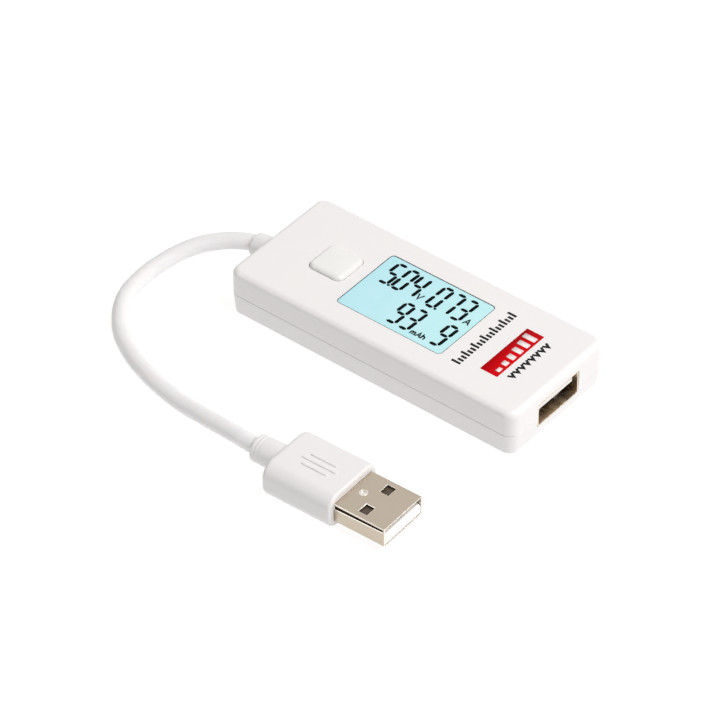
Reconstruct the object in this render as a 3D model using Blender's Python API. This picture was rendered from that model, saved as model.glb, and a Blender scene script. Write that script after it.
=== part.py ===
"""In-line USB power meter: a flat housing with a display and one key, a socket, and a short lead to a plug.

Frame: origin at the centre of the housing's underside, +X towards the socket, +Z up through the display.
Sizes below are in millimetres; MM turns them into metres.
"""

import math

import bmesh
import bpy
from mathutils import Vector

MM = 0.001
GAP = 0.3  # space kept between pieces that touch on the real object
SMOOTH_ANGLE = math.radians(35)

# Housing
HOUSING_LENGTH = 71.2
HOUSING_WIDTH = 30.0
HOUSING_HEIGHT = 10.7
CORNER_RADIUS = 2.5
TOP_FILLET = 1.3
BOTTOM_FILLET = 0.5
LOWER_DRAFT = 0.35  # how far the lower cover's walls lean in by its underside
SEAM_HEIGHT = 4.9
FLOOR_THICKNESS = 1.2
CEILING_HEIGHT = 9.2
UPPER_WALL = 1.6
LIP_OUTSET = 1.5
LIP_INSET = 2.2
LIP_RISE = 1.05
CORNER_STEPS = 5
FILLET_STEPS = 4

# Display
WINDOW_CENTRE = (0.2, 0.1)
WINDOW_SIZE = (26.1, 18.1)
WINDOW_RADIUS = 1.0
GLASS_RECESS = 0.4
FRONT_GLASS_THICKNESS = 1.1
REAR_GLASS_SIZE = (27.0, 20.6)
REAR_GLASS_THICKNESS = 0.9
GUIDE_SIZE = (25.4, 17.6)
GUIDE_BOTTOM = 4.9

# Button
BUTTON_CENTRE = (-20.0, 0.0)
BUTTON_SIZE = 8.4
BUTTON_RADIUS = 1.6
BUTTON_TOP = 11.6
BUTTON_EDGE = 0.5
FLANGE_SIZE = 10.4
FLANGE_BOTTOM = 8.2
BUTTON_HOLLOW = 6.9
BUTTON_HOLLOW_TOP = 9.3

# Switch under the button
SWITCH_SIZE = 6.0
SWITCH_BODY_TOP = 7.7
SWITCH_FRAME_THICKNESS = 0.3
SWITCH_WELL_RADIUS = 2.05
SWITCH_WELL_FLOOR = 5.9
PLUNGER_RADIUS = 1.7
PLUNGER_BOTTOM = 6.6

# Circuit board
BOARD_BOTTOM = 3.2
BOARD_TOP = 4.4
BOARD_ENDS = (-28.5, 33.0)
BOARD_HALF_WIDTH = 12.3
BOARD_NOTCH_START = 21.5
POST_RADIUS = 1.3
POST_PLACES = ((-24.0, -9.5), (-24.0, 9.5), (29.0, -9.9), (29.0, 9.9))

# Socket
SOCKET_CENTRE_HEIGHT = 5.22
SOCKET_INNER = (12.5, 5.12)
SOCKET_WALL = 0.3
SOCKET_BACK = 21.9
SOCKET_FRONT = 35.3
TONGUE_WIDTH = 11.1
TONGUE_THICKNESS = 1.84
TONGUE_FRONT = 34.7
TONGUE_ROOF_GAP = 0.64
TONGUE_BASE_FRONT = 25.2

# Contacts, shared by the socket and the plug
CONTACT_THICKNESS = 0.25
CONTACT_PLACES = (-3.5, -1.0, 1.0, 3.5)
CONTACT_WIDTH = 1.1

# Strain relief, its axis on the seam
RELIEF_HOLE_RADIUS = 2.8
RELIEF_NECK_RADIUS = 2.5
RELIEF_ROOT_RADIUS = 2.85
RELIEF_END_RADIUS = 2.5
RELIEF_LENGTH = 5.2
RELIEF_END_EDGE = 0.35
RELIEF_FLANGE_RADIUS = 3.0
RELIEF_FLANGE = (31.2, 33.0)

# Cable
CABLE_DIAMETER = 3.55
CABLE_SPACING = 4.4
CABLE_ROUTE = (
    (-41.55, -0.15, 4.9),
    (-43.9, -1.3, 4.85),
    (-47.2, -3.5, 4.5),
    (-50.1, -6.5, 4.0),
    (-52.3, -10.2, 3.3),
    (-53.6, -14.2, 2.6),
    (-54.3, -19.1, 2.0),
    (-53.0, -26.5, 1.8),
    (-48.2, -33.6, 1.8),
    (-41.6, -38.4, 1.8),
    (-33.1, -41.8, 1.8),
    (-24.0, -43.9, 1.95),
    (-15.3, -45.2, 2.95),
    (-8.0, -46.1, 3.8),
    (-5.0, -46.42, 3.97),
    (-2.64, -46.45, 4.0),
)
WIRE_RADIUS = 0.5
WIRE_SPREAD = 2.6
WIRE_START = -30.9
WIRE_END = -25.2

# Plug: origin at the centre of the overmould's front face, +X towards the tip
PLUG_PLACE = (20.95, -45.83, 4.0)
PLUG_TURN = math.radians(1.5)
OVERMOULD_WIDTH = 15.2
OVERMOULD_THICKNESS = 7.8
OVERMOULD_LENGTH = 17.9
OVERMOULD_RADIUS = 3.2
OVERMOULD_SHOULDER = 2.6
OVERMOULD_FRONT_EDGE = 0.5
COLLAR_LENGTH = 5.4
COLLAR_RADII = (2.7, 2.9)
PLUG_SHELL_OUTER = (12.0, 4.5)
PLUG_SHELL_WALL = 0.3
PLUG_SHELL_RADIUS = 0.6
PLUG_SHELL_BACK = -6.0
PLUG_SHELL_TIP = 12.0
PLUG_WINDOW_PLACE = (5.85, 3.15)
PLUG_WINDOW_SIZE = (1.95, 2.5)
PLUG_INSULATOR_TIP = 11.6


def clear_scene():
    for scene_object in list(bpy.data.objects):
        bpy.data.objects.remove(scene_object, do_unlink=True)


def make_material(name, colour, roughness, metallic=0.0):
    material = bpy.data.materials.new(name)
    material.use_nodes = True
    shader = material.node_tree.nodes["Principled BSDF"]
    shader.inputs["Base Color"].default_value = (*colour, 1.0)
    shader.inputs["Roughness"].default_value = roughness
    shader.inputs["Metallic"].default_value = metallic
    return material


def make_empty(name, place, turn=0.0):
    empty = bpy.data.objects.new(name, None)
    empty.location = Vector(place) * MM
    empty.rotation_euler = (0.0, 0.0, turn)
    bpy.context.scene.collection.objects.link(empty)
    return empty


def add_object(name, solid, material, parent=None):
    """Turn a bmesh drawn in millimetres into a named object in metres."""
    bmesh.ops.recalc_face_normals(solid, faces=solid.faces)
    bmesh.ops.scale(solid, vec=(MM, MM, MM), verts=solid.verts)
    mesh = bpy.data.meshes.new(name)
    solid.to_mesh(mesh)
    solid.free()
    mesh.shade_smooth()
    mesh.set_sharp_from_angle(angle=SMOOTH_ANGLE)
    mesh.materials.append(material)
    new_object = bpy.data.objects.new(name, mesh)
    new_object.parent = parent
    bpy.context.scene.collection.objects.link(new_object)
    return new_object


def apply_boolean(target, name, solid, operation, parent=None):
    """Cut a hidden helper out of the target, or join it on."""
    helper = add_object(name, solid, target.data.materials[0], parent)
    helper.hide_render = True
    helper.display_type = "WIRE"
    modifier = target.modifiers.new(name, "BOOLEAN")
    modifier.operation = operation
    modifier.solver = "EXACT"
    modifier.object = helper


def loft(rings):
    """Join rings of equal point count into one closed solid, with a flat cap at each end."""
    solid = bmesh.new()
    loops = [[solid.verts.new(point) for point in ring] for ring in rings]
    for first, second in zip(loops, loops[1:]):
        for index in range(len(first)):
            following = (index + 1) % len(first)
            solid.faces.new((first[index], first[following], second[following], second[index]))
    solid.faces.new(loops[0])
    solid.faces.new(loops[-1])
    return solid


def rounded_rectangle(length, width, radius, steps=CORNER_STEPS):
    """Outline points of a rectangle with round corners, centred on zero."""
    corners = ((1, 1), (-1, 1), (-1, -1), (1, -1))
    points = []
    for quarter, (side_x, side_y) in enumerate(corners):
        for step in range(steps + 1):
            angle = math.pi / 2 * (quarter + step / steps)
            across = side_x * (length / 2 - radius) + radius * math.cos(angle)
            along = side_y * (width / 2 - radius) + radius * math.sin(angle)
            points.append((across, along))
    return points


def level_ring(outline, height, centre=(0.0, 0.0)):
    return [Vector((x + centre[0], y + centre[1], height)) for x, y in outline]


def upright_ring(outline, station, height=0.0):
    """Outline in the plane across X, at a station along X."""
    return [Vector((station, y, z + height)) for y, z in outline]


def prism(outline, low, high, centre=(0.0, 0.0)):
    return loft([level_ring(outline, low, centre), level_ring(outline, high, centre)])


def block(low, high):
    outline = ((low[0], low[1]), (high[0], low[1]), (high[0], high[1]), (low[0], high[1]))
    return prism(outline, low[2], high[2])


def centred_block(centre, size, low, high):
    half_x = size[0] / 2
    half_y = size[1] / 2
    return block(
        (centre[0] - half_x, centre[1] - half_y, low),
        (centre[0] + half_x, centre[1] + half_y, high),
    )


def circle(radius, sides):
    return [
        (radius * math.cos(2 * math.pi * side / sides), radius * math.sin(2 * math.pi * side / sides))
        for side in range(sides)
    ]


def housing_ring(inset, height):
    radius = max(CORNER_RADIUS - inset, 0.3)
    outline = rounded_rectangle(HOUSING_LENGTH - 2 * inset, HOUSING_WIDTH - 2 * inset, radius)
    return level_ring(outline, height)


def fillet_profile(radius, steps=FILLET_STEPS):
    """(inset, rise) pairs of a quarter round, from its flat end to its upright end."""
    profile = []
    for step in range(steps + 1):
        angle = math.pi / 2 * step / steps
        profile.append((radius * (1 - math.sin(angle)), radius * (1 - math.cos(angle))))
    return profile


def end_openings():
    """The solids cut from both covers: the socket's mouth and the cable's hole."""
    mouth = rounded_rectangle(
        SOCKET_INNER[0] + 2 * (SOCKET_WALL + GAP),
        SOCKET_INNER[1] + 2 * (SOCKET_WALL + GAP),
        0.7,
        2,
    )
    socket_cut = loft(
        [
            upright_ring(mouth, 32.0, SOCKET_CENTRE_HEIGHT),
            upright_ring(mouth, 37.0, SOCKET_CENTRE_HEIGHT),
        ]
    )
    hole = circle(RELIEF_HOLE_RADIUS, 24)
    relief_cut = loft(
        [
            upright_ring(hole, -37.0, SEAM_HEIGHT),
            upright_ring(hole, -32.0, SEAM_HEIGHT),
        ]
    )
    return socket_cut, relief_cut


def cut_ends(cover):
    socket_cut, relief_cut = end_openings()
    apply_boolean(cover, cover.name + "_socket_mouth", socket_cut, "DIFFERENCE")
    apply_boolean(cover, cover.name + "_cable_hole", relief_cut, "DIFFERENCE")


def make_upper_cover(material):
    rings = [
        housing_ring(inset, HOUSING_HEIGHT - rise) for inset, rise in fillet_profile(TOP_FILLET)
    ]
    rebate = LIP_OUTSET - GAP
    rebate_top = SEAM_HEIGHT + LIP_RISE + GAP
    rings.append(housing_ring(0.0, SEAM_HEIGHT + GAP / 2))
    rings.append(housing_ring(rebate, SEAM_HEIGHT + GAP / 2))
    rings.append(housing_ring(rebate, rebate_top))
    rings.append(housing_ring(UPPER_WALL, rebate_top))
    rings.append(housing_ring(UPPER_WALL, CEILING_HEIGHT))
    cover = add_object("upper_cover", loft(rings), material)
    window = rounded_rectangle(*WINDOW_SIZE, WINDOW_RADIUS, 3)
    above = HOUSING_HEIGHT + 1.0
    below = CEILING_HEIGHT - 1.0
    apply_boolean(
        cover, "window_cut", prism(window, below, above, WINDOW_CENTRE), "DIFFERENCE"
    )
    well_size = BUTTON_SIZE + 2 * GAP
    well = rounded_rectangle(well_size, well_size, BUTTON_RADIUS + GAP, 4)
    apply_boolean(cover, "button_cut", prism(well, below, above, BUTTON_CENTRE), "DIFFERENCE")
    cut_ends(cover)


def make_lower_cover(material):
    rings = [
        housing_ring(LOWER_DRAFT + inset, rise) for inset, rise in fillet_profile(BOTTOM_FILLET)
    ]
    rings.append(housing_ring(0.0, SEAM_HEIGHT - GAP / 2))
    rings.append(housing_ring(LIP_OUTSET, SEAM_HEIGHT - GAP / 2))
    rings.append(housing_ring(LIP_OUTSET, SEAM_HEIGHT + LIP_RISE))
    rings.append(housing_ring(LIP_INSET, SEAM_HEIGHT + LIP_RISE))
    rings.append(housing_ring(LIP_INSET, FLOOR_THICKNESS))
    cover = add_object("lower_cover", loft(rings), material)
    for number, place in enumerate(POST_PLACES, 1):
        post = prism(circle(POST_RADIUS, 12), FLOOR_THICKNESS / 2, BOARD_BOTTOM - GAP, place)
        apply_boolean(cover, "board_post_%d" % number, post, "UNION")
    cut_ends(cover)


def make_display(glass, guide_material, strip_material):
    top = HOUSING_HEIGHT - GLASS_RECESS
    front_size = (WINDOW_SIZE[0] - 2 * GAP, WINDOW_SIZE[1] - 2 * GAP)
    front_low = top - FRONT_GLASS_THICKNESS
    front = rounded_rectangle(*front_size, WINDOW_RADIUS - GAP, 3)
    add_object("lcd_front_glass", prism(front, front_low, top, WINDOW_CENTRE), glass)
    rear_high = front_low - GAP
    rear_low = rear_high - REAR_GLASS_THICKNESS
    rear = centred_block(WINDOW_CENTRE, REAR_GLASS_SIZE, rear_low, rear_high)
    add_object("lcd_rear_glass", rear, glass)
    guide = centred_block(WINDOW_CENTRE, GUIDE_SIZE, GUIDE_BOTTOM, rear_low - GAP)
    add_object("backlight_guide", guide, guide_material)
    strip_place = (WINDOW_CENTRE[0], -9.75)
    strip = centred_block(strip_place, (24.0, 0.9), BOARD_TOP + GAP, rear_low - GAP)
    add_object("lcd_contact_strip", strip, strip_material)


def make_board(material):
    start, end = BOARD_ENDS
    notch = SOCKET_INNER[0] / 2 + SOCKET_WALL + GAP
    outline = (
        (start, -BOARD_HALF_WIDTH),
        (end, -BOARD_HALF_WIDTH),
        (end, -notch),
        (BOARD_NOTCH_START, -notch),
        (BOARD_NOTCH_START, notch),
        (end, notch),
        (end, BOARD_HALF_WIDTH),
        (start, BOARD_HALF_WIDTH),
    )
    add_object("circuit_board", prism(outline, BOARD_BOTTOM, BOARD_TOP), material)


def make_components(materials):
    under = BOARD_BOTTOM - GAP
    over = BOARD_TOP + GAP
    chip = centred_block((0.0, 0.0), (10.0, 7.4), under - 1.2, under)
    add_object("measuring_chip", chip, materials["chip"])
    regulator = centred_block((17.8, -1.6), (3.0, 3.0), over, over + 1.1)
    add_object("regulator_chip", regulator, materials["chip"])
    shunt = centred_block((17.8, -8.2), (3.2, 6.4), over, over + 0.9)
    add_object("shunt_resistor", shunt, materials["chip"])
    can = rounded_rectangle(3.8, 10.2, 1.8, 4)
    add_object("timing_crystal", prism(can, over, over + 3.0, (17.8, 6.2)), materials["metal"])
    for number, place in enumerate((-5.0, -2.4, 0.2), 1):
        capacitor = centred_block((-10.5 + number, place - 6.0), (2.0, 1.25), under - 1.0, under)
        add_object("capacitor_%d" % number, capacitor, materials["capacitor"])


def make_switch(materials, button_axis):
    well = circle(SWITCH_WELL_RADIUS, 20)
    base_low = BOARD_TOP + GAP
    square = (SWITCH_SIZE, SWITCH_SIZE)
    base = add_object(
        "switch_base",
        centred_block(BUTTON_CENTRE, square, base_low, SWITCH_BODY_TOP),
        materials["chip"],
    )
    above = SWITCH_BODY_TOP + 1.0
    apply_boolean(
        base, "switch_well", prism(well, SWITCH_WELL_FLOOR, above, BUTTON_CENTRE), "DIFFERENCE"
    )
    frame_low = SWITCH_BODY_TOP + GAP
    frame_high = frame_low + SWITCH_FRAME_THICKNESS
    frame = add_object(
        "switch_frame",
        centred_block(BUTTON_CENTRE, square, frame_low, frame_high),
        materials["metal"],
    )
    apply_boolean(
        frame, "switch_frame_hole", prism(well, base_low, above, BUTTON_CENTRE), "DIFFERENCE"
    )
    plunger_top = BUTTON_HOLLOW_TOP - GAP - button_axis.location.z / MM
    plunger_low = PLUNGER_BOTTOM - button_axis.location.z / MM
    plunger = prism(circle(PLUNGER_RADIUS, 16), plunger_low, plunger_top)
    add_object("switch_plunger", plunger, materials["chip"], button_axis)


def make_button(material, button_axis):
    """A square pillow key with a flange that keeps it under the cover, hollow over the switch."""
    origin_height = button_axis.location.z / MM
    flange_top = CEILING_HEIGHT - GAP

    def key_ring(size, radius, height):
        return level_ring(rounded_rectangle(size, size, radius, 4), height - origin_height)

    rings = [
        key_ring(BUTTON_HOLLOW, 0.6, BUTTON_HOLLOW_TOP),
        key_ring(BUTTON_HOLLOW, 0.6, FLANGE_BOTTOM),
        key_ring(FLANGE_SIZE, 1.0, FLANGE_BOTTOM),
        key_ring(FLANGE_SIZE, 1.0, flange_top),
        key_ring(BUTTON_SIZE, BUTTON_RADIUS, flange_top),
    ]
    for inset, rise in reversed(fillet_profile(BUTTON_EDGE, 3)):
        size = BUTTON_SIZE - 2 * inset
        rings.append(key_ring(size, BUTTON_RADIUS - inset, BUTTON_TOP - rise))
    add_object("button_cap", loft(rings), material, button_axis)


def make_socket(materials):
    outer = rounded_rectangle(
        SOCKET_INNER[0] + 2 * SOCKET_WALL, SOCKET_INNER[1] + 2 * SOCKET_WALL, 0.5, 2
    )
    inner = rounded_rectangle(*SOCKET_INNER, 0.2, 2)
    height = SOCKET_CENTRE_HEIGHT
    shell = loft(
        [
            upright_ring(outer, SOCKET_BACK, height),
            upright_ring(outer, SOCKET_FRONT, height),
            upright_ring(inner, SOCKET_FRONT, height),
            upright_ring(inner, SOCKET_BACK + SOCKET_WALL, height),
        ]
    )
    add_object("socket_shell", shell, materials["metal"])
    inner_top = height + SOCKET_INNER[1] / 2
    inner_bottom = height - SOCKET_INNER[1] / 2
    tongue_top = inner_top - TONGUE_ROOF_GAP
    tongue_low = tongue_top - TONGUE_THICKNESS
    base_back = SOCKET_BACK + SOCKET_WALL + GAP
    side_view = (
        (base_back, inner_bottom + GAP),
        (TONGUE_BASE_FRONT, inner_bottom + GAP),
        (TONGUE_BASE_FRONT, tongue_low),
        (TONGUE_FRONT, tongue_low),
        (TONGUE_FRONT, tongue_top),
        (base_back, tongue_top),
    )
    half = TONGUE_WIDTH / 2
    tongue = loft([[Vector((x, side, z)) for x, z in side_view] for side in (-half, half)])
    add_object("socket_tongue", tongue, materials["insulator"])
    for number, place in enumerate(CONTACT_PLACES, 1):
        contact = block(
            (TONGUE_BASE_FRONT + GAP, place - CONTACT_WIDTH / 2, tongue_low - GAP - CONTACT_THICKNESS),
            (TONGUE_FRONT - 1.0, place + CONTACT_WIDTH / 2, tongue_low - GAP),
        )
        add_object("socket_contact_%d" % number, contact, materials["contact"])


def relief_ring(distance, radius, sides=20):
    """Ring of the strain relief at a distance out from the housing's end."""
    return upright_ring(circle(radius, sides), -HOUSING_LENGTH / 2 - distance, SEAM_HEIGHT)


def make_strain_relief(material):
    """A flange inside the housing, a neck through its wall, and a tapered nub outside."""
    half_length = HOUSING_LENGTH / 2
    rings = [
        relief_ring(RELIEF_FLANGE[0] - half_length, RELIEF_FLANGE_RADIUS),
        relief_ring(RELIEF_FLANGE[1] - half_length, RELIEF_FLANGE_RADIUS),
        relief_ring(RELIEF_FLANGE[1] - half_length, RELIEF_NECK_RADIUS),
        relief_ring(GAP, RELIEF_NECK_RADIUS),
        relief_ring(GAP, RELIEF_ROOT_RADIUS),
        relief_ring(RELIEF_LENGTH - RELIEF_END_EDGE, RELIEF_END_RADIUS),
        relief_ring(RELIEF_LENGTH, RELIEF_END_RADIUS - RELIEF_END_EDGE),
    ]
    add_object("strain_relief", loft(rings), material)


def smooth_route(points, spacing):
    """Points at an even spacing on a smooth curve through the route's own points."""
    route = [Vector(point) for point in points]
    route = [2 * route[0] - route[1]] + route + [2 * route[-1] - route[-2]]
    fine = []
    steps = 24
    for before, start, end, after in zip(route, route[1:], route[2:], route[3:]):
        for step in range(steps):
            t = step / steps
            fine.append(
                0.5
                * (
                    2 * start
                    + (end - before) * t
                    + (2 * before - 5 * start + 4 * end - after) * t**2
                    + (3 * start - before - 3 * end + after) * t**3
                )
            )
    fine.append(route[-2])
    travelled = [0.0]
    for first, second in zip(fine, fine[1:]):
        travelled.append(travelled[-1] + (second - first).length)
    count = max(2, round(travelled[-1] / spacing))
    even = []
    index = 0
    for number in range(count + 1):
        target = travelled[-1] * number / count
        while index < len(fine) - 2 and travelled[index + 1] < target:
            index += 1
        part = (target - travelled[index]) / (travelled[index + 1] - travelled[index])
        even.append(fine[index].lerp(fine[index + 1], part))
    return even


def make_tube(name, points, radius, sides_setting, material):
    curve = bpy.data.curves.new(name, "CURVE")
    curve.dimensions = "3D"
    curve.bevel_depth = radius * MM
    curve.bevel_resolution = sides_setting
    curve.use_fill_caps = True
    spline = curve.splines.new("POLY")
    spline.points.add(len(points) - 1)
    for spline_point, point in zip(spline.points, points):
        spline_point.co = (*(Vector(point) * MM), 1.0)
    curve.materials.append(material)
    tube = bpy.data.objects.new(name, curve)
    bpy.context.scene.collection.objects.link(tube)


def make_cable(material):
    points = smooth_route(CABLE_ROUTE, CABLE_SPACING)
    make_tube("cable", points, CABLE_DIAMETER / 2, 2, material)


def make_wires(materials):
    names = ("wire_power", "wire_data_minus", "wire_data_plus", "wire_ground")
    height = BOARD_TOP + GAP + WIRE_RADIUS
    for number, name in enumerate(names):
        lane = number - (len(names) - 1) / 2
        route = (
            (WIRE_START, lane * 1.3, SEAM_HEIGHT + 0.4),
            ((WIRE_START + WIRE_END) / 2, lane * (1.3 + WIRE_SPREAD) / 2, height + 0.3),
            (WIRE_END, lane * WIRE_SPREAD, height),
        )
        make_tube(name, smooth_route(route, 1.2), WIRE_RADIUS, 1, materials[name])


def overmould_ring(station, width, thickness, radius):
    radius = min(radius, 0.495 * min(width, thickness))
    return upright_ring(rounded_rectangle(width, thickness, radius), station)


def make_overmould(material, plug_frame):
    collar_end = -OVERMOULD_LENGTH - COLLAR_LENGTH
    rings = [
        overmould_ring(collar_end, 2 * COLLAR_RADII[0], 2 * COLLAR_RADII[0], OVERMOULD_THICKNESS),
        overmould_ring(
            -OVERMOULD_LENGTH, 2 * COLLAR_RADII[1], 2 * COLLAR_RADII[1], OVERMOULD_THICKNESS
        ),
    ]
    shoulder_steps = 5
    back_inset = 1.0
    for step in range(shoulder_steps + 1):
        angle = math.pi / 2 * step / shoulder_steps
        station = -OVERMOULD_LENGTH + OVERMOULD_SHOULDER * (1 - math.cos(angle))
        side_inset = OVERMOULD_SHOULDER * (1 - math.sin(angle))
        top_inset = back_inset * (1 - math.sin(angle))
        width = OVERMOULD_WIDTH - 2 * side_inset
        thickness = OVERMOULD_THICKNESS - 2 * top_inset
        rings.append(overmould_ring(station, width, thickness, OVERMOULD_RADIUS))
    for inset, rise in reversed(fillet_profile(OVERMOULD_FRONT_EDGE, 2)):
        width = OVERMOULD_WIDTH - 2 * inset
        thickness = OVERMOULD_THICKNESS - 2 * inset
        rings.append(overmould_ring(-rise, width, thickness, OVERMOULD_RADIUS - inset))
    pocket = (PLUG_SHELL_OUTER[0] + 2 * GAP, PLUG_SHELL_OUTER[1] + 2 * GAP)
    pocket_radius = PLUG_SHELL_RADIUS + GAP
    rings.append(overmould_ring(0.0, *pocket, pocket_radius))
    rings.append(overmould_ring(PLUG_SHELL_BACK - GAP, *pocket, pocket_radius))
    add_object("plug_overmould", loft(rings), material, plug_frame)


def make_plug_shell(material, plug_frame):
    width, thickness = PLUG_SHELL_OUTER
    outer = rounded_rectangle(width, thickness, PLUG_SHELL_RADIUS, 3)
    inner = rounded_rectangle(
        width - 2 * PLUG_SHELL_WALL,
        thickness - 2 * PLUG_SHELL_WALL,
        PLUG_SHELL_RADIUS - PLUG_SHELL_WALL,
        3,
    )
    rings = [
        upright_ring(outer, PLUG_SHELL_BACK),
        upright_ring(outer, PLUG_SHELL_TIP),
        upright_ring(inner, PLUG_SHELL_TIP),
        upright_ring(inner, PLUG_SHELL_BACK + PLUG_SHELL_WALL),
    ]
    shell = add_object("plug_shell", loft(rings), material, plug_frame)
    reach, side = PLUG_WINDOW_PLACE
    for number, place in enumerate((-side, side), 1):
        window = centred_block((reach, place), PLUG_WINDOW_SIZE, -thickness, thickness)
        name = "plug_window_cut_%d" % number
        apply_boolean(shell, name, window, "DIFFERENCE", plug_frame)


def make_plug_inside(materials, plug_frame):
    inner_low = -PLUG_SHELL_OUTER[1] / 2 + PLUG_SHELL_WALL
    half_width = PLUG_SHELL_OUTER[0] / 2 - PLUG_SHELL_WALL - GAP
    insulator_back = PLUG_SHELL_BACK + PLUG_SHELL_WALL + GAP
    insulator = block(
        (insulator_back, -half_width, inner_low + GAP),
        (PLUG_INSULATOR_TIP, half_width, 0.0),
    )
    add_object("plug_insulator", insulator, materials["insulator"], plug_frame)
    for number, place in enumerate(CONTACT_PLACES, 1):
        outer_contact = abs(place) > 2.0
        tip = PLUG_SHELL_TIP - (1.2 if outer_contact else 2.2)
        contact = block(
            (PLUG_SHELL_TIP - 8.6, place - CONTACT_WIDTH / 2, GAP),
            (tip, place + CONTACT_WIDTH / 2, GAP + CONTACT_THICKNESS),
        )
        add_object("plug_contact_%d" % number, contact, materials["contact"], plug_frame)


def main():
    clear_scene()
    white = make_material("white_plastic", (0.86, 0.85, 0.85), 0.35)
    rubber = make_material("cable_white", (0.84, 0.83, 0.83), 0.45)
    glass = make_material("display_glass", (0.48, 0.80, 0.84), 0.15)
    guide = make_material("backlight", (0.75, 0.93, 0.95), 0.4)
    strip = make_material("contact_strip", (0.06, 0.06, 0.07), 0.7)
    board = make_material("board", (0.02, 0.22, 0.10), 0.5)
    materials = {
        "chip": make_material("chip_black", (0.02, 0.02, 0.02), 0.5),
        "metal": make_material("nickel", (0.62, 0.58, 0.52), 0.25, 1.0),
        "contact": make_material("gilt_contact", (0.85, 0.65, 0.30), 0.25, 1.0),
        "capacitor": make_material("capacitor_tan", (0.45, 0.33, 0.20), 0.5),
        "insulator": make_material("insulator_white", (0.88, 0.87, 0.85), 0.45),
        "wire_power": make_material("wire_red", (0.60, 0.03, 0.03), 0.5),
        "wire_data_minus": make_material("wire_white", (0.80, 0.80, 0.80), 0.5),
        "wire_data_plus": make_material("wire_green", (0.03, 0.35, 0.08), 0.5),
        "wire_ground": make_material("wire_black", (0.02, 0.02, 0.02), 0.5),
    }
    button_axis = make_empty("button_axis", (*BUTTON_CENTRE, HOUSING_HEIGHT))
    plug_frame = make_empty("plug_frame", PLUG_PLACE, PLUG_TURN)
    make_upper_cover(white)
    make_lower_cover(white)
    make_display(glass, guide, strip)
    make_board(board)
    make_components(materials)
    make_switch(materials, button_axis)
    make_button(white, button_axis)
    make_socket(materials)
    make_strain_relief(rubber)
    make_cable(rubber)
    make_wires(materials)
    make_overmould(rubber, plug_frame)
    make_plug_shell(materials["metal"], plug_frame)
    make_plug_inside(materials, plug_frame)


main()
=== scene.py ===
"""Looks of the in-line USB power meter, built round the CAD frame.

It is a housing with a display, a key and a socket, and a short lead to a plug. Lengths are in
millimetres unless a name says otherwise; MM turns them into metres. +X runs towards the socket.
"""

import math

import bmesh
import bpy
from mathutils import Matrix, Vector


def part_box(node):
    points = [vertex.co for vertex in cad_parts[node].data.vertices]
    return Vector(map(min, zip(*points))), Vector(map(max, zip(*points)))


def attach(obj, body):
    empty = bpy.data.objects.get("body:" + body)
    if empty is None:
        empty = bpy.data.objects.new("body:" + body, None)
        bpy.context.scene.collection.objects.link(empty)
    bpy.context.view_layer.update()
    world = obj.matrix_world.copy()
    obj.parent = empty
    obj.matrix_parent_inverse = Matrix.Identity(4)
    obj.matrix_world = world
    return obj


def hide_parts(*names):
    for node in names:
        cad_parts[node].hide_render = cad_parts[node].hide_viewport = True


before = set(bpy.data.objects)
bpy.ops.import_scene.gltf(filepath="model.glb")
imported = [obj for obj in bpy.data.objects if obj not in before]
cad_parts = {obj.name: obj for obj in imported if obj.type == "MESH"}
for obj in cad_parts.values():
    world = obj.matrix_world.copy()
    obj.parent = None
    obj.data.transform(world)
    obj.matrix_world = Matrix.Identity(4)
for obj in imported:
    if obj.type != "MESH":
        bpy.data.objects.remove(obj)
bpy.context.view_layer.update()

MM = 0.001


def box_mm(node):
    low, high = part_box(node)
    return low / MM, high / MM


# Camera and staging
CAMERA_AIM = (-1.74, -15.26, 5.35)
CAMERA_AZIMUTH = math.radians(38.67)
CAMERA_ELEVATION = math.radians(41.04)
CAMERA_DISTANCE = 967.6
CAMERA_LENS = 246.4
SENSOR_WIDTH = 36.0
CLIP_RANGE_M = (0.01, 20.0)
FLOOR_HALF = 3000.0
FLOOR_DROP = 0.02
FLOOR_GREY = 0.22
FLOOR_GLOW = 0.88
FLOOR_GLOW_COLOUR = (1.0, 0.995, 0.99)
WORLD_COLOUR = (1.0, 0.985, 0.975)
WORLD_STRENGTH = 0.44
LAMP_COLOUR = (1.0, 0.99, 0.98)
# Name, place and size in metres, power in watts, and whether it shows only in reflections
LAMPS = (
    ("key", (0.68, 0.22, 1.14), 0.75, 15.6, False),
    ("reflector", (-0.8, 0.95, 1.0), 2.2, 6.8, True),
    ("edge_light", (-0.75, -1.05, 0.95), 1.0, 5.0, True),
)

# Housing, read from the frame
UPPER_LOW, UPPER_HIGH = box_mm("upper_cover")
LIP_TOP = box_mm("lower_cover")[1].z
HOUSING_LENGTH = UPPER_HIGH.x - UPPER_LOW.x
HOUSING_WIDTH = UPPER_HIGH.y - UPPER_LOW.y
HOUSING_TOP = UPPER_HIGH.z
HALF_LENGTH = HOUSING_LENGTH / 2
SEAM_GAP_CAD = 0.3
SEAM_HEIGHT = UPPER_LOW.z - SEAM_GAP_CAD / 2
SEAM_GAP = 0.05
CORNER_RADIUS = 2.5
TOP_FILLET = 1.3
BOTTOM_FILLET = 0.5
LOWER_DRAFT = 0.35
LIP_OUTSET = 1.5
LIP_INSET = 2.2
LIP_CLEARANCE = 0.2
UPPER_WALL = 1.6
CEILING_HEIGHT = 9.2
FLOOR_THICKNESS = 1.2
POST_RADIUS = 1.3
POST_PLACES = ((-24.0, -9.5), (-24.0, 9.5), (29.0, -9.9), (29.0, 9.9))
POST_CLEARANCE = 0.1
BOARD_BOTTOM = box_mm("circuit_board")[0].z
END_CUT_DEPTH = 3.6
CUT_REACH = 1.0  # how far a cutting solid runs past the wall that it cuts
EDGE_ROUND = 0.12
CORNER_STEPS = 12
FILLET_STEPS = 10
EDGE_ANGLE = math.radians(35)

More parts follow.
